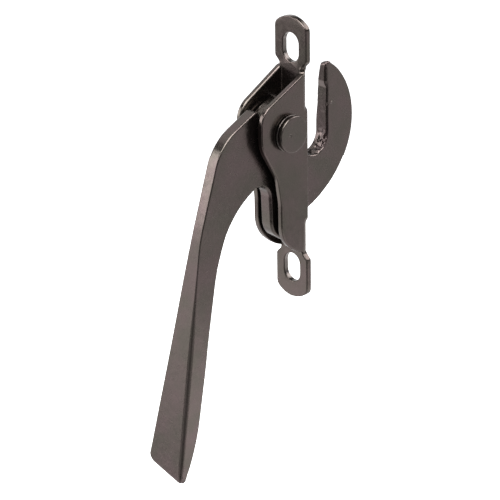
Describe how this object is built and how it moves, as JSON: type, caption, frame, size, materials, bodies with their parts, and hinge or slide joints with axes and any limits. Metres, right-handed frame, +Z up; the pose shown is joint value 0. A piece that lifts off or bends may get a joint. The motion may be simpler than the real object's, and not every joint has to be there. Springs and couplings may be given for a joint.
{
  "type": "casement window sash lock",
  "caption": "Casement window sash lock: a cam-action hook lever with a widening handle, riveted between the ears of a stamped U bracket with slotted screw tabs.",
  "frame": {"origin": "on the bracket's mounting plane, midway between the two screw slots and midway between the two ears", "axes": "+Z up the window frame, -Y into the room on the handle's side, +Y towards the sash on the hook's side, +X towards the ear that carries the rivet's head"},
  "size_m": [0.0143, 0.0686, 0.1127],
  "materials": {
    "dark_bronze_coat": "satin dark bronze coat",
    "dark_bronze_lever": "satin dark bronze coat",
    "dark_bronze_rivet": "satin dark bronze coat",
    "darkened_steel": "darkened steel"
  },
  "bodies": {
    "bracket": {"mounting_bracket": "dark_bronze_coat", "pivot_rivet": "dark_bronze_rivet", "spring_washer": "darkened_steel", "friction_disc_front": "darkened_steel", "friction_disc_rear": "darkened_steel", "tail_washer": "darkened_steel"},
    "lever": {"hook_lever": "dark_bronze_lever"}
  },
  "joints": [
    {"name": "lever_pivot", "type": "hinge", "parent": "bracket", "child": "lever", "pos_m": [0, -0.0073, 0.0098], "axis": [-1, 0, 0], "range_deg": [0, 80]}
  ]
}
